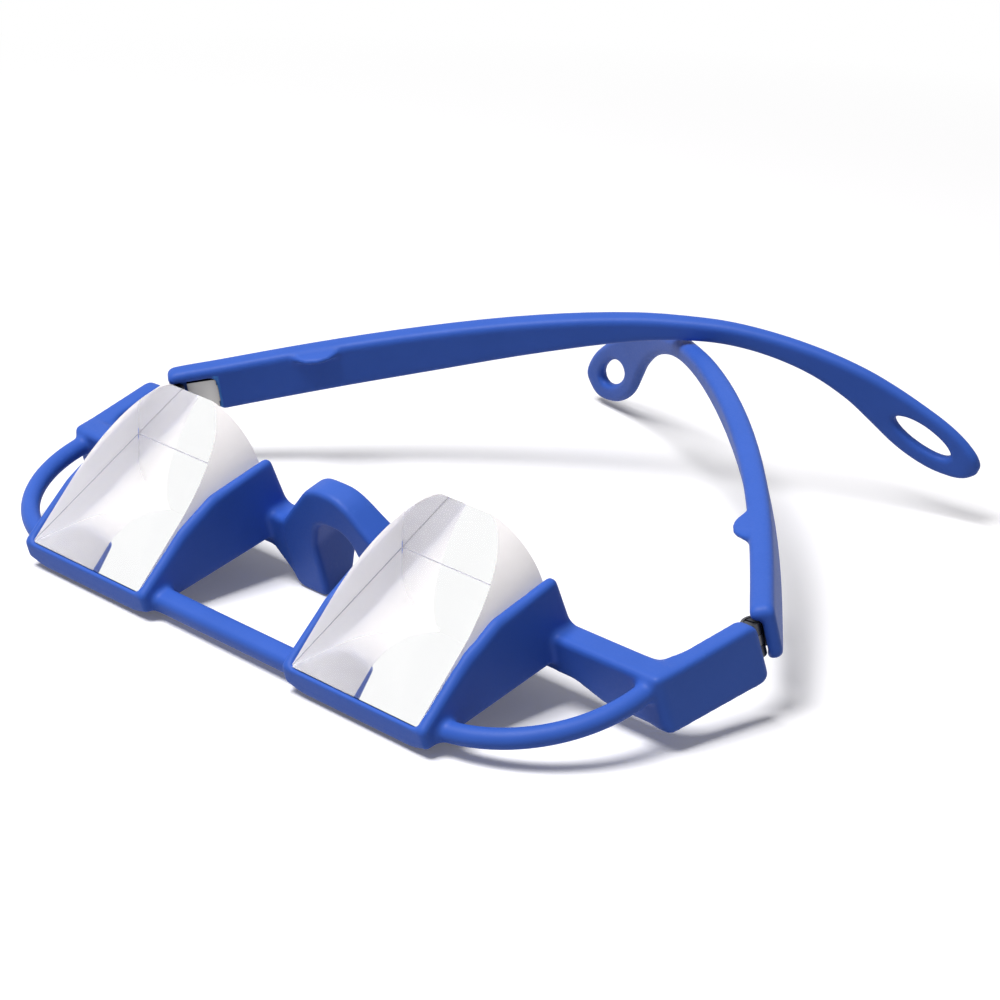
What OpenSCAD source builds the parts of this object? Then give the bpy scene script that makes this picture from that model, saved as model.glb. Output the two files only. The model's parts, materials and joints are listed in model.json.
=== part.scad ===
// Belay glasses: two silvered prisms in a moulded front, with two folding temples.
// Worn frame: X to the wearer's left, Y backwards, Z up, origin at the front
// edge of the glass. The whole object is then laid down as it rests on a table.

/* [Prisms] */
// Width of each glass prism, side to side
prism_w = 26.5; // [22:0.5:30]
// Depth of the prism's silvered base, front to back
prism_d = 27.9; // [24:0.1:32]
// Angle between the sloped face and the base, in degrees
prism_slope = 30; // [28:1:33]
// Distance between the centres of the two prisms
prism_spacing = 62; // [58:1:66]
// Radius of the rounded upper corners of the glass
prism_round = 10.5; // [8:0.5:12]
// Height of the rounded top of the glass above the base
prism_h = 16.4; // [15.5:0.1:17.5]
// Thickness of the silver coating
silver_t = 0.15; // [0.1:0.05:0.3]
// Thickness of the glue pad under the coating
pad_t = 0.5; // [0.3:0.1:0.8]
// Gap between the glass and its coating
coat_gap = 0.02; // [0.01:0.01:0.05]
// Margin of the coating and the pad inside the edge of the base
coat_margin = 0.25; // [0.1:0.05:0.6]

/* [Front] */
// Thickness of the side plates
plate_t = 1.8; // [1.4:0.1:2.4]
// Gap between the glass and the plates and rims round it
seat_gap = 0.05; // [0.02:0.01:0.2]
// Depth of the front lip below the base of the glass
lip_drop = 4.3; // [3.6:0.1:5.5]
// Thickness of the front lip, front to back
lip_t = 2; // [1.4:0.1:3]
// Thickness of the tray floor under the glass
tray_t = 1.8; // [1.2:0.1:2.5]
// Height of the back bar at the cradles
bar_h = 7.1; // [6:0.1:8.5]
// Thickness of the back bar, front to back
bar_t = 4.8; // [4:0.1:6]
// Diameter of the curved guard bars
guard_d = 3.2; // [2.6:0.1:4]
// Bend radius of the guard bars
guard_r = 21.5; // [21.2:0.1:22]
// Height of the centre bar
tie_h = 3.4; // [2.6:0.1:4]
// Thickness of the centre bar, front to back
tie_t = 3.7; // [3:0.1:4.5]
// Thickness of the endpieces that carry the temples
end_t = 3.6; // [3.5:0.1:4.2]
// Length of the endpieces behind the front face of the back bar
end_len = 19.5; // [17:0.1:22]
// Height of the endpieces at their back end
end_h = 10.1; // [9.6:0.1:10.8]
// Drop of the endpieces' top from front to back
end_drop = 1.6; // [1:0.1:2.2]
// Height of the top of the nose arch above the base of the glass
arch_h = 8.7; // [7.6:0.1:9.6]
// Thickness of the nose arch at its top
arch_t = 6.6; // [5.6:0.1:7.6]
// Half width of the opening under the nose arch, at its front
arch_open = 5.2; // [4.6:0.1:5.8]
// Depth of the nose arch's crown from front to back
arch_crown = 4.5; // [4:0.1:5.5]
// Reach of the nose arch's wings from front to back
arch_reach = 10.5; // [8:0.5:13]

/* [Temples] */
// Length of a temple along its first straight stretch
temple_len = 138.6; // [130:0.1:146]
// Thickness of a temple at the hinge
temple_t = 3.7; // [3.2:0.1:4.4]
// Share of a temple's thickness that is left at its tip
tip_share = 0.55; // [0.5:0.01:0.8]
// Height of a temple at the hinge
temple_h = 8.6; // [7.6:0.1:9.6]
// Sideways curve of a temple towards the head, first part
bow_a = 8.7; // [7:0.1:11]
// Sideways curve of a temple towards the head, growing part
bow_b = 12.8; // [10:0.1:15]
// Half length of the cord eye at the tip
eye_long = 5.8; // [4.5:0.1:6.6]
// Half height of the cord eye at the tip
eye_short = 2.2; // [1.8:0.1:2.6]
// Height of the stop bump on the inner side of a temple
bump_h = 2.5; // [1.5:0.1:3.2]
// Thickness of the stop bump, top to bottom
bump_t = 1.2; // [1:0.1:2]
// Length of the stop bump
bump_len = 8.3; // [6:0.1:10]

/* [Hinges] */
// Lean of the hinge axis, top inwards, in degrees
lean = 5.4; // [3:0.1:8]
// Droop of an opened temple, in degrees
droop = 1.9; // [0:0.1:4]
// Outward splay of the endpieces and of the opened temples, in degrees
splay = 6.3; // [4:0.1:8]
// Radius of the knuckles
knuckle_r = 1.45; // [1.3:0.05:1.5]
// Height of the three knuckles together
knuckle_h = 5.8; // [5:0.1:6]
// Thickness of the hinge leaves
leaf_t = 0.9; // [0.7:0.05:1]
// Radius of the hinge screw
screw_r = 0.6; // [0.5:0.05:0.7]
// Radius of the screw's head
head_r = 1; // [0.9:0.05:1.1]
// Running clearance of the screw in the moving knuckle
screw_gap = 0.05; // [0.02:0.01:0.08]
// Gap between neighbouring knuckles
knuckle_gap = 0.1; // [0.05:0.01:0.2]
// Gap round the knuckles, and between endpiece and opened temple
swing_gap = 0.25; // [0.15:0.05:0.4]

/* [Pose] */
// Fold of the right temple from straight back, in degrees
fold_right = 38.5; // [36:0.1:40]
// Fold of the left temple from straight back, in degrees
fold_left = 40.3; // [40:0.1:44]
// How far the crossed temples spring each other up and down, in degrees
spring = 1.3; // [1.2:0.05:1.5]
// Backward tilt of the glasses as they lie on a table, in degrees
rest_tilt = 18.35; // [18.2:0.05:18.5]
// Distance from the glass edge back to the middle of the footprint
middle_back = 66.7; // [60:0.1:80]

/* [Hidden] */

blue = [0.11, 0.22, 0.62];
glass_colour = [0.85, 0.92, 0.95, 0.5];
silver_colour = [0.8, 0.81, 0.83];
pad_colour = [0.15, 0.15, 0.16];
steel_colour = [0.62, 0.62, 0.6];

corner_steps = 5;     // straight pieces in a rounded corner
joint_fn = 48;        // sides of a round hole, pin or knuckle
overlap = 0.5;        // depth to which fused forms run into each other

prism_x = prism_spacing / 2;
prism_back_h = prism_d * tan(prism_slope);
seat_x0 = prism_x - prism_w / 2 - seat_gap;
seat_x1 = prism_x + prism_w / 2 + seat_gap;
plate_x0 = seat_x0 - plate_t;
plate_x1 = seat_x1 + plate_t;
tray_z = -coat_gap - silver_t - pad_t;
tray_back = prism_d + 1;               // back of the tray and of its foot stop
foot_h = 0.9;                          // height of the foot stop behind the glass
foot_fall = 0.4;                       // slope of the foot stop's top
lip_y = -0.75;                         // front face of the lip and of the rim above it
lip_side = -3.2;                       // height where the lip's rounded ends start
lip_cut = 4;                           // length of those ends along the lip's underside

plate_dip = 10;                        // where a plate starts to fall below the slope
plate_kink = [prism_d - 10.9, 7.75];   // front end of its level top
plate_back = [prism_d + 1.3, 7.5];     // upper back corner of a plate
plate_foot = [prism_d + 2.9, -5.8];    // lower back corner of a plate
plate_front = [-3.4, 0.1];             // lower and upper end of its front edge
plate_fall = 1.1;                      // fall of its top edge across its thickness

bar_y0 = prism_d - 2.3;                // front face of the back bar
bar_y1 = bar_y0 + bar_t;
bar_z1 = tray_z + 0.05;                // top of the back bar at its front
bar_fall = 0.65;                       // fall of its top towards the back
bar_z0 = bar_z1 - bar_h;
bar_step = 2.3;                        // drop of its underside near the endpieces

end_x = 66.3;                          // upper front corner of an endpiece, outer side
end_z = bar_z1 - 0.55;
end_rise = 0.35;                       // how far an endpiece's front end rises above that
end_web = 4.5;                         // radius of the web between bar and endpiece
web_y = 4.1;                           // where that web starts, behind the bar's front face
web_z = [-8.2, -0.5];                  // its lower and upper face, below the endpiece's corner

front_of_pivot = 1.2;                  // reach of a temple in front of its hinge axis
pivot = [end_x + end_len * sin(splay) - 3.45,
    bar_y0 + end_len * cos(splay) + front_of_pivot + swing_gap + 0.52,
    end_z - 3.45];
outer_x = 3.85;                        // outer face of a temple from the hinge axis
pivot_s = 5.3;                         // hinge axis from the start of the temple's measure
temple_s0 = pivot_s - front_of_pivot;  // front end of a temple
notch_s1 = 12.3;                       // back end of the hinge notch
notch_z1 = 0.1;                        // top of the notch on the hinge axis
notch_gap = 0.35;                      // height left free above and below the hinge in it
knuckle_top = notch_z1 - notch_gap;    // top of the knuckles on the hinge axis
knuckle_part = knuckle_h / 3;
notch_x = knuckle_r + swing_gap;
leaf_reach = 10;                       // leaf in the endpiece, from the hinge axis
leaf_x = 0.2;                          // inner face of that leaf, outwards from the axis
leaf_play = 0.03;                      // play between the temple's leaf and its slot
middle_low = knuckle_top - 2 * knuckle_part + knuckle_gap;
middle_h = knuckle_part - 2 * knuckle_gap;
tongue_more = 0.8;                     // how much taller the leaf's tongue is, up and down
tongue_len = 8;                        // length of that tongue behind the notch

guard_x = 42.55;                       // middle of a guard bar's bend, seen from above
guard_y = bar_y0 - 1.1;
guard_z = -3.3;
guard_start = -84;                     // direction in which a guard bar starts
guard_turn = 88.5;                     // how far it turns
guard_slope = 2.9;                     // its fall towards the back

function unit(v) = v / norm(v);
function turned(v, a) = [v.x * cos(a) - v.y * sin(a), v.x * sin(a) + v.y * cos(a)];

// Arc of radius r that rounds corner c between its neighbours p and n
function corner_arc(p, c, n, r) =
    let (u = unit(p - c), v = unit(n - c), half = acos(u * v) / 2)
    let (m = c + unit(u + v) * r / sin(half))
    let (a = c + u * r / tan(half) - m, b = c + v * r / tan(half) - m)
    let (turn = atan2(a.x * b.y - a.y * b.x, a * b))
    [for (i = [0:corner_steps]) m + turned(a, turn * i / corner_steps)];

// Outline with every corner rounded, by one radius or by a list of them
function rounded(points, r) =
    let (n = len(points))
    [for (i = [0:n - 1])
        each corner_arc(points[(i + n - 1) % n], points[i], points[(i + 1) % n],
            is_list(r) ? r[i] : r)];

// Extrusions of an outline drawn in the side, front and top view
module along_x(x0, x1) {
    translate([x0, 0, 0]) rotate([90, 0, 90]) linear_extrude(x1 - x0) children();
}
module along_y(y0, y1) {
    translate([0, y1, 0]) rotate([90, 0, 0]) linear_extrude(y1 - y0) children();
}
module along_z(z0, z1) {
    translate([0, 0, z0]) linear_extrude(z1 - z0) children();
}
module both_sides() {
    children();
    mirror([1, 0, 0]) children();
}
module on_side(side) {
    mirror([side < 0 ? 1 : 0, 0, 0]) children();
}

// Laid on a table: tilted back, on the round lower ends of the nose arch's wings
lip_round = 0.9;
arch_y0 = bar_y0 - 0.3;
arch_y1 = arch_y0 + arch_reach;
wing_round = 0.8;
wing_foot = [arch_y0 + wing_round, -12.9]; // centre of that round end, seen from the side
rest_z = wing_round - wing_foot[0] * sin(rest_tilt) - wing_foot[1] * cos(rest_tilt);
module lay_down() {
    translate([0, -middle_back, rest_z]) rotate([rest_tilt, 0, 0]) children();
}

// Frame of a hinge: Z along its axis, Y along the opened temple before splay
module at_hinge(side) {
    on_side(side) translate(pivot) rotate([-droop, 0, 0]) rotate([0, -lean, 0]) children();
}
// Frame of a temple at rest, with the metal leaf straight on its axis
module at_temple(side) {
    at_hinge(side) rotate([0, 0, side > 0 ? fold_left : fold_right]) children();
}
// The moulded temple, sprung up on the right and down on the left
module at_sprung_temple(side) {
    at_temple(side) rotate([side > 0 ? -spring : spring, 0, 0]) children();
}

// Solid through rings with the same number of points
module loft(rings) {
    m = len(rings[0]);
    n = len(rings);
    polyhedron(
        points = [for (g = rings) each g],
        faces = concat(
            [[for (j = [m - 1:-1:0]) j]],
            [for (i = [0:n - 2], j = [0:m - 1]) each [
                [i * m + j, i * m + (j + 1) % m, (i + 1) * m + j],
                [i * m + (j + 1) % m, (i + 1) * m + (j + 1) % m, (i + 1) * m + j]]],
            [[for (j = [0:m - 1]) (n - 1) * m + j]]));
}

/* Glass */
module prism(side) {
    top_x = prism_w / 2 - prism_round;
    color(glass_colour) on_side(side) translate([prism_x, 0, 0]) intersection() {
        along_x(-prism_w / 2, prism_w / 2)
            polygon([[0, 0], [prism_d, 0], [prism_d, prism_back_h]]);
        along_y(-1, prism_d + 1) {
            translate([-prism_w / 2, 0]) square([prism_w, prism_h - prism_round]);
            translate([-top_x, 0]) square([2 * top_x, prism_h]);
            for (x = [-top_x, top_x])
                translate([x, prism_h - prism_round]) circle(prism_round, $fn = 96);
        }
    }
}

// Flat sheet of the base's outline, inset by the coating's margin
module base_sheet(z0, z1) {
    half = prism_w / 2 - coat_margin;
    translate([prism_x - half, coat_margin, z0])
        cube([2 * half, prism_d - 2 * coat_margin, z1 - z0]);
}
module silvering(side) {
    color(silver_colour) on_side(side) base_sheet(-coat_gap - silver_t, -coat_gap);
}
module glue_pad(side) {
    color(pad_colour) on_side(side) base_sheet(tray_z, tray_z + pad_t);
}

/* Front frame */
// Side view of a plate at height drop: its top edge falls more the further back it is
function plate_outline(drop) =
    let (front_drop = drop * 0.35, dip_z = plate_dip * tan(prism_slope))
    rounded([[lip_y, plate_front[0]], [lip_y, plate_front[1] - front_drop],
        [plate_dip, dip_z - drop], [plate_kink.x, plate_kink.y - drop * 0.8],
        [plate_back.x, plate_back.y - drop * 0.1], plate_foot], [0.6, 0.15, 8, 2, 0.8, 0.8]);
// Plate from its glass side outwards, with its outer top edge rounded off
plate_steps = [[0, 0], [0.45, 0], [0.75, 0.3], [1, 1]];
module side_plate(x, out) {
    steps = out > 0 ? plate_steps : [for (i = [len(plate_steps) - 1:-1:0]) plate_steps[i]];
    loft([for (q = steps) [for (p = plate_outline(plate_fall * q[1]))
        [x + out * plate_t * q[0], p.x, p.y]]]);
}

// Tray with a thin rim before the glass edge, a deep front lip and a foot stop
module tray() {
    along_x(plate_x0 + overlap, plate_x1 - overlap) {
        polygon([[lip_y, -lip_round], [lip_y, 0], [-seat_gap, 0], [-seat_gap, tray_z],
            [prism_d + seat_gap, tray_z], [prism_d + seat_gap, foot_h],
            [tray_back, foot_h - foot_fall], [tray_back, tray_z - tray_t],
            [lip_y + lip_t, tray_z - tray_t]]);
    }
    lip();
}
module lip() {
    lip_low = -lip_drop;
    intersection() {
        along_x(plate_x0, plate_x1)
            polygon(rounded([[lip_y, 0], [lip_y, lip_low], [lip_y + lip_t, lip_low],
                [lip_y + lip_t, tray_z - 0.3], [-seat_gap, tray_z - 0.3], [-seat_gap, 0]],
                [0.1, lip_round, 0.6, 0.1, 0.1, 0.1]));
        along_y(lip_y - 1, lip_y + lip_t + 1)
            polygon(rounded([[plate_x0, 1], [plate_x1, 1], [plate_x1, lip_side],
                [plate_x1 - lip_cut, lip_low], [plate_x0 + lip_cut, lip_low],
                [plate_x0, lip_side]], [0.3, 0.3, 0.8, 4, 4, 0.8]));
    }
}

module side_outline_of_bar(depth) {
    polygon(rounded([[bar_y0, bar_z1], [bar_y1, bar_z1 - bar_fall], [bar_y1, bar_z1 - depth],
        [bar_y0, bar_z1 - depth]], 0.9));
}
// Back bar from the nose arch past the cradle to the endpiece
module back_bar() {
    along_x(stub_x[0] - 1.5, plate_x1) side_outline_of_bar(bar_h);
    intersection() {
        along_x(plate_x1 - overlap, end_x - 0.5) side_outline_of_bar(bar_h + bar_step);
        along_y(bar_y0 - 1, bar_y1 + 1)
            polygon(rounded([[plate_x1 - 3, 1], [end_x + 2, 1], [end_x + 2, bar_z0 - bar_step],
                [end_x - 11.4, bar_z0 - bar_step], [plate_x1 + 3, bar_z0], [plate_x1 - 3, bar_z0]],
                [0.2, 0.2, 0.2, 4, 4, 0.2]));
    }
}

// Block behind the bar's outer end, splayed and leaning, open to the hinge leaf
module endpiece() {
    front_low = 0.9 - end_h;
    back_low = -end_drop - end_h;
    difference() {
        translate([end_x, bar_y0, end_z]) rotate([0, -lean, 0]) rotate([0, 0, -splay]) {
            intersection() {
                along_x(-end_t - 1, 1)
                    polygon(rounded([[0, end_rise], [end_len, -end_drop], [end_len, back_low],
                        [0, front_low]], [0.8, 2, 1.5, 0.8]));
                along_z(back_low - 1, 1)
                    polygon(rounded([[-end_t, 0], [0, 0], [0, end_len], [-end_t, end_len]],
                        [0.3, 1.2, 0.9, 1.2]));
            }
            end_web_piece();
        }
        at_hinge(1)
            translate([leaf_x - leaf_play, -leaf_reach - 0.1, knuckle_top - knuckle_h - 0.05])
                cube([leaf_t + 2 * leaf_play, leaf_reach, knuckle_h + 0.1]);
    }
}
// Rounded web in the corner between the back bar and an endpiece
module end_web_piece() {
    mid = [-end_t - end_web, web_y + end_web];
    arc = [for (i = [0:corner_steps]) mid + end_web * [sin(90 * i / corner_steps),
        -cos(90 * i / corner_steps)]];
    along_z(web_z[0], web_z[1])
        polygon(concat([[mid.x, web_y - 1]], arc, [[1 - end_t, mid.y], [1 - end_t, web_y - 1]]));
}

// Round guard bar from the front of a cradle out and back to the endpiece
module guard_bar() {
    translate([guard_x, guard_y, guard_z]) rotate([-guard_slope, 0, 0])
        rotate([0, 0, guard_start]) rotate_extrude(angle = guard_turn, $fn = 160)
            translate([guard_r, 0]) circle(guard_d / 2, $fn = 32);
}

module centre_bar() {
    along_x(-plate_x0 - overlap, plate_x0 + overlap)
        translate([1, -1 - tie_h])
            polygon(rounded([[0, 0], [tie_t, 0], [tie_t, tie_h], [0, tie_h]], 1.2));
}

// Saddle over the nose: an arch whose wings reach down and back
arch_wide = 3;                         // widening of its opening towards the back
arch_sink = 0.9;                       // fall of the opening's top towards the back
wing_low = -14.9;                      // lowest corner of a wing, before it is cut off below
stub_x = [12.5, 16.5];                 // inner and outer end of the stubs beside the arch
arch_clear = 20;                       // reach of a cutting outline past the arch
module arch_channel(y, wide, top) {
    along_y(y - 0.01, y + 0.01)
        polygon(rounded([[-wide, wing_low - 1], [-wide, top - 5.5], [-wide * 0.62, top],
            [wide * 0.62, top], [wide, top - 5.5], [wide, wing_low - 1]],
            [0.5, 4, 3.6, 3.6, 4, 0.5]));
}
module arch_front_view() {
    half = [[3.5, arch_h], [11.9, -0.3], [12.1, bar_z1], [stub_x[1], bar_z1],
        [stub_x[1], bar_z0 - 0.3],
        [12.6, -12.8], [10, wing_low], [6.9, -14.3], [2.8, -10.2]];
    radii = [7.4, 0.3, 0.05, 0.3, 1.5, 1.5, 1.5, 1.5, 2];
    n = len(half);
    polygon(rounded(concat(half, [[0, -7]],
        [for (i = [n - 1:-1:0]) [-half[i].x, half[i].y]]),
        concat(radii, [1], [for (i = [n - 1:-1:0]) radii[i]])));
}
module nose_arch() {
    foot_z = wing_foot[1] - wing_round;
    difference() {
        intersection() {
            along_y(arch_y0, arch_y1) arch_front_view();
            along_x(-arch_clear, arch_clear)
                polygon(rounded([[arch_y0, arch_h + 0.1], [arch_y0 + arch_crown, arch_h + 0.1],
                    [arch_y0 + arch_crown + 1, 2], [arch_y1, -5], [arch_y1, -9],
                    [arch_y1 - 3, foot_z], [arch_y0, foot_z]],
                    [0.9, 1.5, 3, 4, 4, 1.5, wing_round]));
            // Keeps the stubs beside the arch as thick as the back bar
            union() {
                along_y(arch_y0 - 1, arch_y1 + 1)
                    translate([-stub_x[0], -arch_clear]) square([2 * stub_x[0], 2 * arch_clear]);
                along_x(-arch_clear, arch_clear) side_outline_of_bar(bar_h + 5);
            }
        }
        hull() {
            arch_channel(arch_y0 - 0.5, arch_open, arch_h - arch_t);
            arch_channel(arch_y1 + 0.5, arch_open + arch_wide, arch_h - arch_t - arch_sink);
        }
    }
}

module front_frame() {
    color(blue) {
        both_sides() {
            side_plate(seat_x0, -1);
            side_plate(seat_x1, 1);
            tray();
            back_bar();
            endpiece();
            guard_bar();
        }
        centre_bar();
        nose_arch();
    }
}

/* Hinges */
// Leaf in the endpiece with the upper and lower knuckles
module front_hinge(side) {
    low = knuckle_top - knuckle_h;
    color(steel_colour) at_hinge(side) difference() {
        union() {
            for (z = [low, knuckle_top - knuckle_part])
                translate([0, 0, z]) {
                    cylinder(knuckle_part, r = knuckle_r, $fn = joint_fn);
                    translate([leaf_x, -knuckle_r - 1, 0])
                        cube([leaf_t, knuckle_r + 1, knuckle_part]);
                }
            translate([leaf_x, -leaf_reach, low])
                cube([leaf_t, leaf_reach - knuckle_r - 0.5, knuckle_h]);
        }
        translate([0, 0, low - 1]) cylinder(knuckle_h + 2, r = screw_r, $fn = joint_fn);
        translate([0, 0, knuckle_top - 0.6]) cylinder(1, r = head_r + 0.02, $fn = joint_fn);
        translate([0, 0, low + knuckle_part])
            cylinder(knuckle_part, r = knuckle_r + 0.3, $fn = joint_fn);
    }
}

// Leaf in the temple's notch with the middle knuckle, running on into the temple
module temple_hinge(side) {
    leaf_y0 = knuckle_r + 0.45;
    notch_y1 = notch_s1 - pivot_s;
    color(steel_colour) at_temple(side) difference() {
        union() {
            translate([0, 0, middle_low]) cylinder(middle_h, r = knuckle_r, $fn = joint_fn);
            translate([notch_x - leaf_t, 0, middle_low])
                cube([leaf_t - 0.3, leaf_y0 + 1, middle_h]);
            translate([notch_x - leaf_t, leaf_y0, knuckle_top - knuckle_h])
                cube([leaf_t, notch_y1 - leaf_y0 - 0.1, knuckle_h]);
            translate([notch_x - leaf_t, leaf_y0, middle_low - tongue_more])
                cube([leaf_t, notch_y1 + tongue_len - leaf_y0, middle_h + 2 * tongue_more]);
        }
        translate([0, 0, middle_low - 1])
            cylinder(middle_h + 2, r = screw_r + screw_gap, $fn = joint_fn);
    }
}

module hinge_screw(side) {
    head_t = 0.5;
    color(steel_colour) at_hinge(side) difference() {
        union() {
            translate([0, 0, knuckle_top - knuckle_h])
                cylinder(knuckle_h - 0.6 + 0.1, r = screw_r, $fn = joint_fn);
            translate([0, 0, knuckle_top - 0.1 - head_t])
                cylinder(head_t, r = head_r, $fn = joint_fn);
        }
        translate([-head_r - 0.1, -0.15, knuckle_top - 0.35]) cube([2 * head_r + 0.2, 0.3, 1]);
    }
}

/* Temples */
// Stations along a temple: distance, height of the middle, half height, share of thickness
temple_stations = [
    [temple_s0, -2.4, 0.85, 1], [temple_s0 + 0.5, -2.4, 1, 1],
    [temple_s0 + 1.6, -2.4, 1.07, 1], [14, -2.3, 1.05, 1], [30, -1.95, 1.03, 1],
    [50, -1.3, 0.96, 1], [70, -0.17, 0.78, 0.98], [86, 0.62, 0.58, 0.92],
    [94, 0.47, 0.49, 0.87], [101, -0.2, 0.47, 0.82],
    [108, -1.95, 0.51, 0.76], [115, -4.75, 0.64, 0.7], [121, -8.4, 0.87, 0.64],
    [125, -11.8, 1.08, 0.6], [129, -15.6, 1.25, tip_share], [132.5, -18.3, 1.22, tip_share],
    [135.3, -20.1, 1, tip_share], [137.3, -21.2, 0.66, tip_share],
    [temple_len - 0.2, -21.8, 0.25, tip_share * 0.7]];
ring_steps = 4;       // rings between two stations
ring_corner = 4;      // straight pieces in a ring's rounded corner

bow_s0 = 13.9;        // where a temple starts to curve
function bow(s) = let (q = max(s - bow_s0, 0) / 100) bow_a * q * q + bow_b * q * q * q;
function bow_slope(s) =
    let (q = max(s - bow_s0, 0) / 100)
    (2 * bow_a * q + 3 * bow_b * q * q) / 100;

// Smooth curve through the stations, as a function of the distance along the temple
last_station = len(temple_stations) - 1;
function station(i) = temple_stations[max(0, min(last_station, i))];
function station_slope(i) = (station(i + 1) - station(i - 1)) / (station(i + 1)[0] - station(i - 1)[0]);
function between(i, t) =
    let (a = station(i), b = station(i + 1), d = b[0] - a[0])
    (2 * t * t * t - 3 * t * t + 1) * a + (3 - 2 * t) * t * t * b
        + (t * t * t - 2 * t * t + t) * d * station_slope(i)
        + (t * t * t - t * t) * d * station_slope(i + 1);
temple_path = [for (i = [0:last_station - 1], k = [0:ring_steps - 1]) between(i, k / ring_steps),
    station(last_station)];

// One ring: a rounded rectangle square to the temple's run
function ring(i) =
    let (n = len(temple_path) - 1, p = temple_path[i])
    let (a = temple_path[max(0, i - 1)], b = temple_path[min(n, i + 1)])
    let (k = bow_slope(p[0]), run = unit([-k, 1, (b[1] - a[1]) / (b[0] - a[0])]))
    let (out = unit([1, k, 0]), up = cross(out, run))
    let (half_t = temple_t * p[3] / 2, half_h = temple_h / 2 * p[2])
    let (r = min(1.1, half_t - 0.05, half_h - 0.05))
    let (face = [outer_x - bow(p[0]), p[0] - pivot_s, p[1]], mid = face - out * half_t)
    [for (q = [0:3], j = [0:ring_corner])
        let (ang = 90 * (q + j / ring_corner))
        let (cx = (q == 0 || q == 3 ? 1 : -1) * (half_t - r))
        let (cz = (q < 2 ? 1 : -1) * (half_h - r))
        mid + out * (cx + r * cos(ang)) + up * (cz + r * sin(ang))];

module temple_sweep() {
    loft([for (i = [0:len(temple_path) - 1]) ring(i)]);
}

// Round bump on the inner side that holds the temple off the glass
module stop_bump() {
    s_mid = 30.2;
    low = 0.9;
    bump_r = (bump_len * bump_len / 4 + bump_h * bump_h) / (2 * bump_h);
    inner = outer_x - temple_t - bow(s_mid);
    translate([inner, s_mid - pivot_s, low]) intersection() {
        translate([bump_r - bump_h, 0, 0]) cylinder(bump_t, r = bump_r, $fn = 64);
        translate([-bump_h - 1, -bump_len, -1]) cube([bump_h + 1.8, 2 * bump_len, bump_t + 2]);
    }
}

module cord_eye() {
    s_mid = 130.5;
    eye_z = -16.7;
    eye_fall = 32;
    mid = [outer_x - bow(s_mid), s_mid - pivot_s, eye_z];
    translate(mid) rotate([0, 0, atan(bow_slope(s_mid))]) rotate([-eye_fall, 0, 0])
        along_x(-temple_t - 4, 4)
            polygon([for (a = [0:10:350]) [eye_long * cos(a), eye_short * sin(a)]]);
}

// Notch for the hinge, open in front and inside, with a rounded upper back corner
module hinge_notch() {
    low = knuckle_top - knuckle_h - notch_gap;
    y0 = temple_s0 - pivot_s - 1;
    y1 = notch_s1 - pivot_s;
    along_x(-5, notch_x)
        polygon(rounded([[y0, low], [y1, low], [y1, notch_z1], [y0, notch_z1]],
            [0.1, 0.4, 1.2, 0.1]));
}
// Slot for the leaf's tongue, which stays straight on the hinge axis
module leaf_slot() {
    translate([notch_x - leaf_t - leaf_play, notch_s1 - pivot_s - 1,
        middle_low - tongue_more - leaf_play])
        cube([leaf_t + 2 * leaf_play, tongue_len + 1 + leaf_play,
            middle_h + 2 * (tongue_more + leaf_play)]);
}

module temple(side) {
    color(blue) difference() {
        at_sprung_temple(side) union() {
            temple_sweep();
            stop_bump();
        }
        at_sprung_temple(side) hinge_notch();
        at_sprung_temple(side) cord_eye();
        at_temple(side) leaf_slot();
    }
}

lay_down() front_frame();
lay_down() prism(-1);  // right_prism
lay_down() prism(1);  // left_prism
lay_down() silvering(-1);  // right_silvering
lay_down() silvering(1);  // left_silvering
lay_down() glue_pad(-1);  // right_glue_pad
lay_down() glue_pad(1);  // left_glue_pad
lay_down() front_hinge(-1);  // right_front_hinge
lay_down() front_hinge(1);  // left_front_hinge
lay_down() hinge_screw(-1);  // right_hinge_screw
lay_down() hinge_screw(1);  // left_hinge_screw
lay_down() temple_hinge(-1);  // right_temple_hinge
lay_down() temple_hinge(1);  // left_temple_hinge
lay_down() temple(-1);  // right_temple
lay_down() temple(1);  // left_temple
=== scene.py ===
# Belay glasses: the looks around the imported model. Metres, Z up.
import json
import math

import bmesh
import bpy
import numpy as np
import openvdb as vdb
from mathutils import Matrix, Vector
from mathutils.bvhtree import BVHTree


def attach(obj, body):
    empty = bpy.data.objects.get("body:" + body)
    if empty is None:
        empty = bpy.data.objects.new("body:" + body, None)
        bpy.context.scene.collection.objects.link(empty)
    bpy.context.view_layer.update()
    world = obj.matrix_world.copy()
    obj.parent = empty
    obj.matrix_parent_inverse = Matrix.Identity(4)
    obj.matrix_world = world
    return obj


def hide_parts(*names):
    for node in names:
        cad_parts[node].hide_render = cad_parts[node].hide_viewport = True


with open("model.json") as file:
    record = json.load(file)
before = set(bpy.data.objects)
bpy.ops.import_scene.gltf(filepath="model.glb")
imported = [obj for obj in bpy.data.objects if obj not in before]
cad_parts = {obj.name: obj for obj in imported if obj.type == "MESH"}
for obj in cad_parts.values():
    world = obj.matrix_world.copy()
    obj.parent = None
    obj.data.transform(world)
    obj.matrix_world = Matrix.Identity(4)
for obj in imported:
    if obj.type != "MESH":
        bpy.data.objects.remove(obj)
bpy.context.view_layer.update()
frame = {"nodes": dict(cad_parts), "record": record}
MM = 0.001
scene = bpy.context.scene

# ---------------------------------------------------------------- camera
RIGHT = Vector((0.70944, 0.703566, 0.041183))
DOWN = Vector((0.28345, -0.231341, -0.930668))
FORWARD = Vector((-0.64526, 0.671921, -0.363538))
CAMERA_AT = Vector((0.299405, -0.317764, 0.178971))

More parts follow.
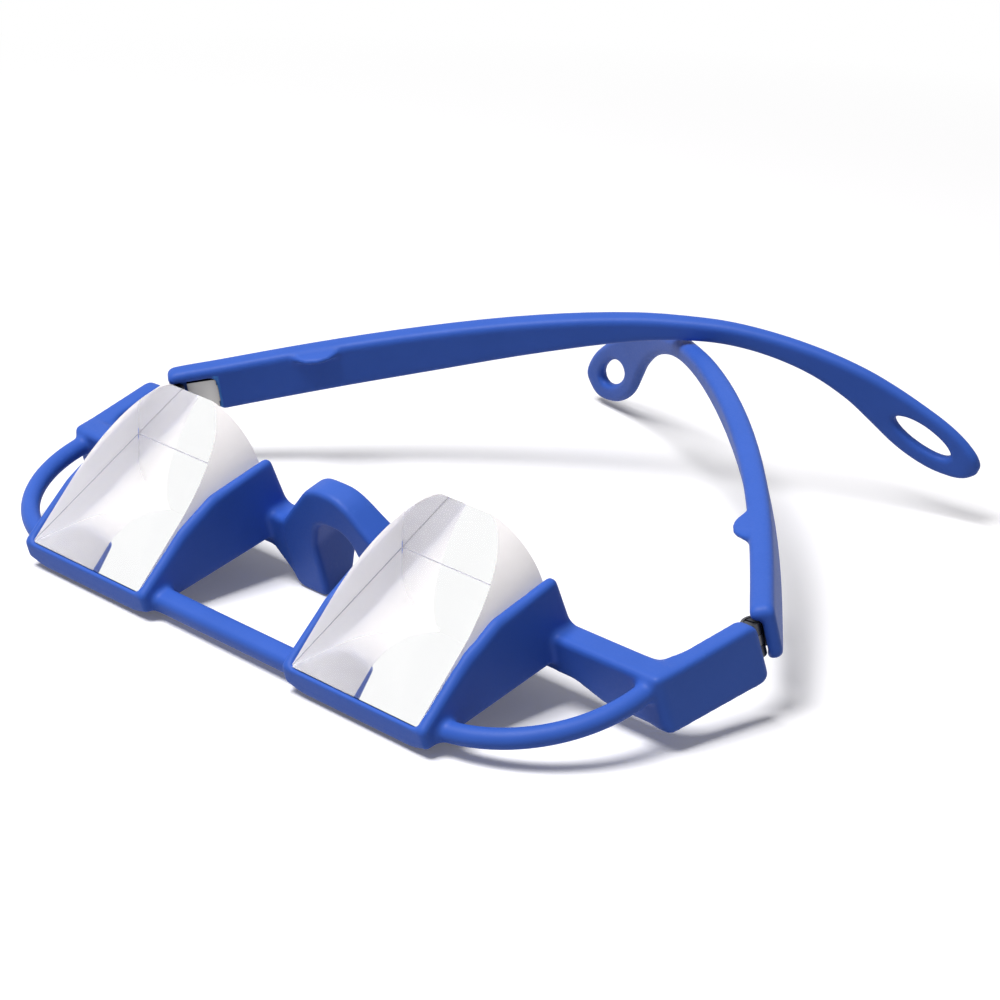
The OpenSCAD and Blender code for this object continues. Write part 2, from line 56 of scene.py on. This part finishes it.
camera_data = bpy.data.cameras.new("photo_camera")
camera_data.lens = 102.55
camera_data.sensor_width = 36
camera_data.clip_start = 0.01
camera_data.clip_end = 20
camera = bpy.data.objects.new("photo_camera", camera_data)
scene.collection.objects.link(camera)
turn = Matrix((RIGHT, -DOWN, -FORWARD)).transposed().to_4x4()
camera.matrix_world = Matrix.Translation(CAMERA_AT) @ turn
scene.camera = camera


# ---------------------------------------------------------------- nodes
class Nodes:
    """The node tree of a new material or of the world, with short calls for its nodes."""

    def __init__(self, owner, output="ShaderNodeOutputMaterial"):
        self.owner = bpy.data.materials.new(owner) if isinstance(owner, str) else owner
        self.output = output
        self.owner.use_nodes = True
        self.tree = self.owner.node_tree
        self.tree.nodes.clear()

    def add(self, kind, **settings):
        node = self.tree.nodes.new(kind)
        for key, value in settings.items():
            setattr(node, key, value)
        return node

    def link(self, a, b):
        self.tree.links.new(a, b)

    def put(self, node, **values):
        """Sets sockets by name, with _ for a space; a socket as a value is linked."""
        for key, value in values.items():
            socket = node.inputs[key.replace("_", " ")]
            if isinstance(value, bpy.types.NodeSocket):
                self.link(value, socket)
            else:
                socket.default_value = value
        return node

    def noise(self, scale, detail, rough, coords):
        node = self.add("ShaderNodeTexNoise")
        self.put(node, Scale=scale, Detail=detail, Roughness=rough, Vector=coords)
        return node.outputs["Fac"]

    def spread(self, value, low, high, to_low=0.0, to_high=1.0):
        node = self.add("ShaderNodeMapRange")
        node.clamp = True
        self.put(node, Value=value)
        for key, number in (("From Min", low), ("From Max", high),
                            ("To Min", to_low), ("To Max", to_high)):
            node.inputs[key].default_value = number
        return node.outputs["Result"]

    def blend(self, fac, a, b):
        node = self.add("ShaderNodeMix", data_type="RGBA")
        for socket, value in ((node.inputs[0], fac), (node.inputs[6], a), (node.inputs[7], b)):
            if isinstance(value, bpy.types.NodeSocket):
                self.link(value, socket)
            else:
                socket.default_value = value
        return node.outputs[2]

    def math(self, operation, a, b):
        node = self.add("ShaderNodeMath", operation=operation)
        for socket, value in zip(node.inputs, (a, b)):
            if isinstance(value, bpy.types.NodeSocket):
                self.link(value, socket)
            else:
                socket.default_value = value
        return node.outputs[0]

    def bump(self, height, strength, distance, normal=None):
        node = self.add("ShaderNodeBump")
        self.put(node, Strength=strength, Distance=distance, Height=height)
        if normal is not None:
            self.link(normal, node.inputs["Normal"])
        return node.outputs["Normal"]

    def mixed(self, fac, a, b):
        """A mix of two shaders; fac is a number or a socket."""
        node = self.add("ShaderNodeMixShader")
        if isinstance(fac, bpy.types.NodeSocket):
            self.link(fac, node.inputs[0])
        else:
            node.inputs[0].default_value = fac
        self.link(a, node.inputs[1])
        self.link(b, node.inputs[2])
        return node.outputs[0]

    def seen_rays(self):
        """1 for the rays that show a surface: camera, glossy and transmission rays."""
        path = self.add("ShaderNodeLightPath").outputs
        return self.math("MAXIMUM", path["Is Camera Ray"],
                         self.math("MAXIMUM", path["Is Glossy Ray"],
                                   path["Is Transmission Ray"]))

    def finish(self, shader):
        self.link(shader, self.add(self.output).inputs["Surface"])
        return self.owner


def object_coords(n):
    return n.add("ShaderNodeTexCoord").outputs["Object"]


# ---------------------------------------------------------------- materials
def soft_touch():
    n = Nodes("soft_touch_blue")
    at = object_coords(n)
    cloud = n.noise(90, 3, 0.6, at)
    grain = n.noise(7000, 2, 0.5, at)
    fine = n.noise(2600, 3, 0.6, at)
    colour = n.blend(n.spread(cloud, 0.35, 0.65), (0.033, 0.108, 0.49, 1), (0.037, 0.116, 0.52, 1))
    colour = n.blend(n.spread(grain, 0.62, 0.8, 0, 0.3), colour, (0.045, 0.14, 0.57, 1))
    # Painted highlight: the colour is lighter on sharp edges, found by pointiness, standing in for
    # rounded edges catching the light.
    edge = n.add("ShaderNodeNewGeometry").outputs["Pointiness"]
    colour = n.blend(n.spread(edge, 0.52, 0.62, 0, 0.2), colour, (0.06, 0.16, 0.57, 1))
    # A lighter colour in a band round the end of the hinge notch, as marked by mark_notch.
    lighter_rim = n.add("ShaderNodeAttribute", attribute_name="lighter_rim").outputs["Fac"]
    colour = n.blend(n.math("MULTIPLY", lighter_rim, 0.8), colour, (0.07, 0.3, 0.8, 1))
    bsdf = n.add("ShaderNodeBsdfPrincipled")
    n.put(bsdf, Base_Color=colour, Roughness=n.spread(fine, 0.3, 0.7, 0.47, 0.58), IOR=1.48,
          Specular_IOR_Level=0.25)
    normal = n.bump(fine, 0.25, 0.00003)
    n.link(n.bump(grain, 0.35, 0.00002, normal), bsdf.inputs["Normal"])
    return n.finish(bsdf.outputs["BSDF"])


def clear_to_shadows(n, shader, tint):
    """The shader, with shadow rays let through, so that light reaches what the glass covers."""
    clear = n.add("ShaderNodeBsdfTransparent")
    n.put(clear, Color=tint)
    shadow = n.add("ShaderNodeLightPath").outputs["Is Shadow Ray"]
    return n.finish(n.mixed(shadow, shader, clear.outputs[0]))


def optical_glass():
    n = Nodes("prism_glass")
    glass = n.add("ShaderNodeBsdfGlass")
    n.put(glass, Color=(0.998, 1, 0.999, 1), Roughness=0.0, IOR=1.52)
    return clear_to_shadows(n, glass.outputs[0], (0.93, 0.94, 0.945, 1))


def ground_glass():
    """Fine-ground sides: they scatter the light, with a faint unevenness."""
    n = Nodes("ground_glass")
    at = object_coords(n)
    grain = n.noise(4000, 3, 0.6, at)
    cloud = n.noise(120, 2, 0.5, at)
    white = n.blend(cloud, (0.87, 0.84, 0.84, 1), (0.9, 0.87, 0.87, 1))
    back = n.add("ShaderNodeBsdfDiffuse")
    n.put(back, Color=white, Roughness=0.3)
    through = n.add("ShaderNodeBsdfTranslucent")
    n.put(through, Color=white)
    n.link(n.bump(grain, 0.05, 0.00001), back.inputs["Normal"])
    mix = n.mixed(0.3, back.outputs[0], through.outputs[0])
    return clear_to_shadows(n, mix, (0.75, 0.75, 0.77, 1))


def ground_edge():
    """The narrow chamfers, darker than the sides."""
    n = Nodes("ground_edge")
    grain = n.noise(3000, 2, 0.5, object_coords(n))
    bsdf = n.add("ShaderNodeBsdfPrincipled")
    colour = n.blend(grain, (0.26, 0.25, 0.29, 1), (0.34, 0.33, 0.37, 1))
    n.put(bsdf, Base_Color=colour, Roughness=0.5)
    return n.finish(bsdf.outputs["BSDF"])


def silver():
    n = Nodes("silver_coating")
    cloud = n.noise(160, 2, 0.5, object_coords(n))
    bsdf = n.add("ShaderNodeBsdfPrincipled")
    colour = n.blend(cloud, (0.97, 0.973, 0.975, 1), (0.983, 0.985, 0.987, 1))
    n.put(bsdf, Base_Color=colour, Metallic=1.0, Roughness=0.02)
    return n.finish(bsdf.outputs["BSDF"])


def glue():
    n = Nodes("glue_pad")
    spots = n.noise(900, 3, 0.6, object_coords(n))
    bsdf = n.add("ShaderNodeBsdfPrincipled")
    colour = n.blend(spots, (0.02, 0.021, 0.024, 1), (0.035, 0.036, 0.04, 1))
    n.put(bsdf, Base_Color=colour, Roughness=0.6)
    n.link(n.bump(spots, 0.3, 0.00005), bsdf.inputs["Normal"])
    return n.finish(bsdf.outputs["BSDF"])


def brushed_steel(name, dark, light):
    n = Nodes(name)
    stretch = n.add("ShaderNodeMapping")
    stretch.inputs["Scale"].default_value = (1, 1, 14)
    n.link(object_coords(n), stretch.inputs["Vector"])
    lines = n.noise(900, 3, 0.6, stretch.outputs["Vector"])
    bsdf = n.add("ShaderNodeBsdfPrincipled")
    colour = n.blend(lines, dark, light)
    # Painted shade: the colour goes near black in crevices and gaps, where ambient occlusion finds
    # other parts close by.
    crevice = n.add("ShaderNodeAmbientOcclusion")
    crevice.inputs["Distance"].default_value = 0.004
    open_share = n.math("POWER", crevice.outputs["AO"], 2.5)
    colour = n.blend(open_share, (0.03, 0.032, 0.045, 1), colour)
    n.put(bsdf, Base_Color=colour, Metallic=1.0, Roughness=n.spread(lines, 0.3, 0.7, 0.42, 0.55))
    n.link(n.bump(lines, 0.3, 0.00002), bsdf.inputs["Normal"])
    return n.finish(bsdf.outputs["BSDF"])


BLUE = soft_touch()
GLASS = optical_glass()
GROUND = ground_glass()
EDGE = ground_edge()
SILVER = silver()
GLUE = glue()
STEEL = brushed_steel("brushed_steel", (0.38, 0.375, 0.36, 1), (0.48, 0.47, 0.45, 1))
# Painted shade: a darker copy of the steel, for the hinge knuckles and screws that sit in the
# shade of the hinge gap.
SHADED_STEEL = brushed_steel("shaded_steel", (0.14, 0.14, 0.15, 1), (0.2, 0.2, 0.205, 1))


def dress(obj, material):
    obj.data.materials.clear()
    obj.data.materials.append(material)


# ---------------------------------------------------------------- pieces
def solid_copy(node, name):
    """A new object with the welded mesh of a CAD node, in millimetres."""
    mesh = bpy.data.meshes.new(name)
    bm = bmesh.new()
    bm.from_mesh(frame["nodes"][node].data)
    bmesh.ops.remove_doubles(bm, verts=bm.verts, dist=1e-6)
    bmesh.ops.scale(bm, vec=(1000, 1000, 1000), verts=bm.verts)
    bm.to_mesh(mesh)
    bm.free()
    obj = bpy.data.objects.new(name, mesh)
    scene.collection.objects.link(obj)
    return obj


def triangles_of(obj):
    """The points and the triangles of an object's mesh, as arrays."""
    obj.data.calc_loop_triangles()
    points = np.array([v.co for v in obj.data.vertices], np.float32)
    return points, np.array([t.vertices for t in obj.data.loop_triangles], np.uint32)


def apply_all(obj):
    """Replaces the mesh by what its modifiers make of it, scaled back to metres."""
    bpy.context.view_layer.update()
    graph = bpy.context.evaluated_depsgraph_get()
    mesh = bpy.data.meshes.new_from_object(obj.evaluated_get(graph))
    obj.modifiers.clear()
    obj.data = mesh
    mesh.transform(Matrix.Scale(MM, 4))
    return mesh


def level_set(points, triangles, quads, step, reach):
    """Distances in mm to a closed mesh, known up to reach on both sides of it."""
    return vdb.FloatGrid.createLevelSetFromPolygons(
        points, triangles=triangles, quads=quads,
        transform=vdb.createLinearTransform(voxelSize=step), halfWidth=reach / step)


def moved_surface(grid, offset, step, reach):
    """The level set of the surface that lies offset outside the grid's own."""
    points, triangles, quads = grid.convertToPolygons(isovalue=offset)
    return level_set(points, triangles, quads, step, reach)


def voxels(grid, low, size, beyond):
    """The grid's distances over a block of voxels."""
    block = np.full(size, beyond, np.float32)
    grid.copyToArray(block, ijk=tuple(int(v) for v in low))
    return block


def blurred(block, sigma):
    """Gaussian blur of a block, sigma in voxels."""
    reach = math.ceil(2.5 * sigma)
    shifts = range(-reach, reach + 1)
    weights = [math.exp(-0.5 * (s / sigma) ** 2) for s in shifts]
    for axis in range(3):
        total = np.zeros_like(block)
        for shift, weight in zip(shifts, weights):
            total += np.float32(weight / sum(weights)) * np.roll(block, shift, axis)
        block = total
    return block


def box_distance(at, low, high):
    """Distance from the box low..high, worn frame, for points given by coordinate."""
    parts = [np.maximum(low[k] - at[k], at[k] - high[k]) for k in range(3)]
    return np.maximum(np.maximum(parts[0], parts[1]), parts[2])


def mark_notch(mesh, leaf, joint_name):
    """Marks a lighter band round the end of the notch that the hinge leaf lies in."""
    joint = next(j for j in frame["record"]["behaviour"]["joints"] if j["name"] == joint_name)
    pivot, axis = Vector(joint["pos_m"]), Vector(joint["axis"]).normalized()
    other = frame["nodes"][leaf].data
    along = max((v.co - pivot for v in other.vertices), key=lambda arm: arm.length)
    along = (along - along.dot(axis) * axis).normalized()
    tree = BVHTree.FromPolygons([v.co for v in other.vertices],
                                [tuple(p.vertices) for p in other.polygons])
    lighter_rim = mesh.attributes.new("lighter_rim", "FLOAT", "POINT")
    for vertex in mesh.vertices:
        off = abs((vertex.co - pivot).dot(along) - NOTCH_END)
        if off < RIM_REACH and tree.find_nearest(vertex.co, LEAF_REACH)[3] is not None:
            lighter_rim.data[vertex.index].value = min(1.0, (RIM_REACH - off) / RIM_FADE)


def moulded(node, name, body, thin_boxes=(), clear_of=(), leaf=None):
    """The node's own form with the fillets and the soft edges of a moulding.

    Closing fills its inner corners, opening rounds its outer ones. Opening would eat
    walls thinner than two radii, so these are kept inside the thin boxes. The nodes in
    clear_of keep their room, and a band round the notch of the leaf is marked lighter."""
    step = 0.2          # mm, a voxel
    fillet, edge, soft = 0.6, 0.55, 0.3    # mm: inner radius, outer radius, blur
    copy = solid_copy(node, name)
    points, triangles = triangles_of(copy)
    wide = fillet + edge + 3 * step
    grown = moved_surface(level_set(points, triangles, None, step, fillet + 3 * step),
                          fillet, step, wide)
    core = moved_surface(grown, -fillet - edge, step, edge + 4 * step)

    low, high = grown.evalActiveVoxelBoundingBox()
    low = np.array(low)
    size = tuple(int(v) for v in np.array(high) - low + 1)
    body_field = voxels(core, low, size, edge + 4 * step) - edge
    if thin_boxes:
        x, y, z = ((low[k] + np.arange(size[k], dtype=np.float32)) * step for k in range(3))
        x, y, z = x[:, None, None], y[None, :, None] + MIDDLE_BACK, z[None, None, :] - REST_Z
        worn = (x, y * math.cos(TILT) + z * math.sin(TILT),
                z * math.cos(TILT) - y * math.sin(TILT))
        closed = voxels(grown, low, size, wide) + fillet
        for low_corner, high_corner, fill in thin_boxes:
            kept = np.maximum(closed - fill, box_distance(worn, low_corner, high_corner))
            body_field = np.minimum(body_field, kept)
    beyond = edge + 4 * step
    body_field = blurred(np.clip(body_field, -beyond, beyond), soft / step)
    for other in clear_of:
        form = solid_copy(other, other + "_form")
        room = level_set(*triangles_of(form), None, step, beyond)
        body_field = np.maximum(body_field, NODE_GAP - voxels(room, low, size, beyond))
        bpy.data.objects.remove(form)

    skin = vdb.FloatGrid(beyond)
    skin.transform = vdb.createLinearTransform(voxelSize=step)
    skin.copyFromArray(body_field, ijk=tuple(int(v) for v in low))
    points, triangles, quads = skin.convertToPolygons(isovalue=0.0, adaptivity=0.0)
    mesh = bpy.data.meshes.new(name)
    mesh.from_pydata((points * MM).tolist(), [], quads.tolist() + triangles.tolist())
    bm = bmesh.new()
    bm.from_mesh(mesh)
    bmesh.ops.recalc_face_normals(bm, faces=bm.faces)
    bm.to_mesh(mesh)
    bm.free()
    mesh.shade_smooth()
    if leaf:
        mark_notch(mesh, leaf, node + "_fold")
    copy.data = mesh
    dress(copy, BLUE)
    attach(copy, body)
    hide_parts(node)


TILT = math.radians(18.35)                 # how far the glasses lean back on the table
MIDDLE_BACK = 66.7                         # mm from the glass edge back to the middle
REST_Z = 4.827                             # height of the glass edge over the table
NOTCH_END = 0.0070                         # m from a hinge pin to the end of its notch
RIM_REACH, RIM_FADE = 0.0006, 0.0003     # m, half the lighter band and its soft edge
LEAF_REACH = 0.0013                        # m from the leaf within which the band is lighter
NODE_GAP = 0.03                            # mm kept free round the glass
PRISM_X = 31                               # mm from the middle to a prism's middle
# Boxes round the thin walls of each cradle: the rim before the glass, the stop behind it,
# each with how much thicker the wall is drawn, to make up for the blur
THIN = [box for side in (-1, 1) for box in (
    ((side * PRISM_X - 13.5, -0.75, -0.9), (side * PRISM_X + 13.5, 0.1, 0.02), 0.15),
    ((side * PRISM_X - 13.2, 27.6, -0.4), (side * PRISM_X + 13.2, 29.4, 2), 0))]

moulded("front_frame", "front_moulding", "front", THIN, ("right_prism", "left_prism"))
for side in ("right", "left"):
    moulded(side + "_temple", side + "_temple_moulding", side + "_arm",
            leaf=side + "_temple_hinge")


BACKWARD = Vector((0, math.cos(TILT), math.sin(TILT)))
UPWARD = Vector((0, -math.sin(TILT), math.cos(TILT)))
SLOPE = math.radians(30)                   # between the prism's base and its sloped face
ALIKE = 0.99                               # cosine above which two normals are the same
CHAMFER = 0.13                             # mm
CLEAR_FACE, GROUND_FACE, CHAMFER_FACE, MIRROR_FACE = range(4)


def ground_prism(node, name):
    """The prism with ground sides, small chamfers and a silvered base."""
    obj = solid_copy(node, name)
    bm = bmesh.new()
    bm.from_mesh(obj.data)
    bmesh.ops.dissolve_limit(bm, angle_limit=math.radians(0.2), verts=bm.verts, edges=bm.edges)
    bm.faces.ensure_lookup_table()
    slope = UPWARD * math.cos(SLOPE) - BACKWARD * math.sin(SLOPE)
    for face in bm.faces:
        face.normal_update()
        if max(face.normal.dot(slope), face.normal.dot(BACKWARD)) > ALIKE:
            face.material_index = CLEAR_FACE
        elif face.normal.dot(-UPWARD) > ALIKE:
            face.material_index = MIRROR_FACE
        else:
            face.material_index = GROUND_FACE
    weight = bm.edges.layers.float.new("bevel_weight_edge")
    for edge in bm.edges:
        kinds = {face.material_index for face in edge.link_faces}
        angle = math.degrees(edge.calc_face_angle(0))
        if MIRROR_FACE in kinds and 80 < angle < 100:
            edge[weight] = 1
    bm.to_mesh(obj.data)
    bm.free()
    for material in (GLASS, GROUND, EDGE, SILVER):
        obj.data.materials.append(material)
    bevel = obj.modifiers.new("chamfer", "BEVEL")
    bevel.width = CHAMFER
    bevel.segments = 1
    bevel.limit_method = "WEIGHT"
    bevel.material = CHAMFER_FACE
    mesh = apply_all(obj)
    mesh.shade_smooth()
    mesh.set_sharp_from_angle(angle=math.radians(12))
    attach(obj, "front")
    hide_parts(node)


for side in ("right", "left"):
    ground_prism(side + "_prism", side + "_ground_prism")
    dress(frame["nodes"][side + "_silvering"], SILVER)
    dress(frame["nodes"][side + "_glue_pad"], GLUE)
    dress(frame["nodes"][side + "_temple_hinge"], STEEL)
    # Painted shade: the knuckles and screws get the darker steel copy for the shade they sit in.
    for part in ("front_hinge", "hinge_screw"):
        dress(frame["nodes"][side + "_" + part], SHADED_STEEL)

# ---------------------------------------------------------------- studio
FLOOR_SIZE = 6                             # m
FILL = 0.155                               # the world's light on the object
NEAR_FLOOR, FAR_FLOOR = 0.16, 0.4          # m from the middle: shadows end, plain white


def floor_material():
    """White table: bright to the camera, duller to the light that it throws back at the
    object, and plain white away from it."""
    n = Nodes("white_table")
    seen = n.seen_rays()
    diffuse = n.add("ShaderNodeBsdfDiffuse")
    n.put(diffuse, Color=n.blend(seen, (0.4, 0.4, 0.41, 1), (1, 0.99, 1, 1)))
    glow = n.add("ShaderNodeEmission")
    n.put(glow, Color=(1, 1, 1, 1), Strength=seen)
    lift = n.add("ShaderNodeEmission")
    n.put(lift, Color=(1, 0.985, 1, 1), Strength=n.math("MULTIPLY", seen, 0.1))
    near = n.add("ShaderNodeAddShader")
    n.link(diffuse.outputs[0], near.inputs[0])
    n.link(lift.outputs[0], near.inputs[1])
    distance = n.add("ShaderNodeVectorMath", operation="LENGTH")
    n.link(object_coords(n), distance.inputs[0])
    away = n.spread(distance.outputs["Value"], NEAR_FLOOR, FAR_FLOOR)
    return n.finish(n.mixed(away, near.outputs[0], glow.outputs[0]))


floor_mesh = bpy.data.meshes.new("table")
half = FLOOR_SIZE / 2
floor_mesh.from_pydata([(-half, -half, 0), (half, -half, 0), (half, half, 0), (-half, half, 0)],
                       [], [(0, 1, 2, 3)])
floor = bpy.data.objects.new("table", floor_mesh)
scene.collection.objects.link(floor)
dress(floor, floor_material())

world = bpy.data.worlds.new("studio")
scene.world = world
n = Nodes(world, "ShaderNodeOutputWorld")
fill = n.put(n.add("ShaderNodeBackground"), Color=(1, 0.99, 1, 1), Strength=FILL)
white = n.put(n.add("ShaderNodeBackground"), Color=(1, 1, 1, 1), Strength=1)
n.finish(n.mixed(n.seen_rays(), fill.outputs[0], white.outputs[0]))


def soft_box(name, at, aim, size, power):
    data = bpy.data.lights.new(name, "AREA")
    data.shape = "SQUARE"
    data.size = size
    data.energy = power
    obj = bpy.data.objects.new(name, data)
    obj.location = at
    obj.rotation_euler = (Vector(aim) - Vector(at)).to_track_quat("-Z", "Y").to_euler()
    scene.collection.objects.link(obj)


soft_box("top_light", (-0.05, -0.5, 1.05), (0, 0, 0), 0.5, 15.6)

scene.view_settings.view_transform = "Standard"
scene.cycles.max_bounces = 24
scene.cycles.glossy_bounces = 16
scene.cycles.transmission_bounces = 20
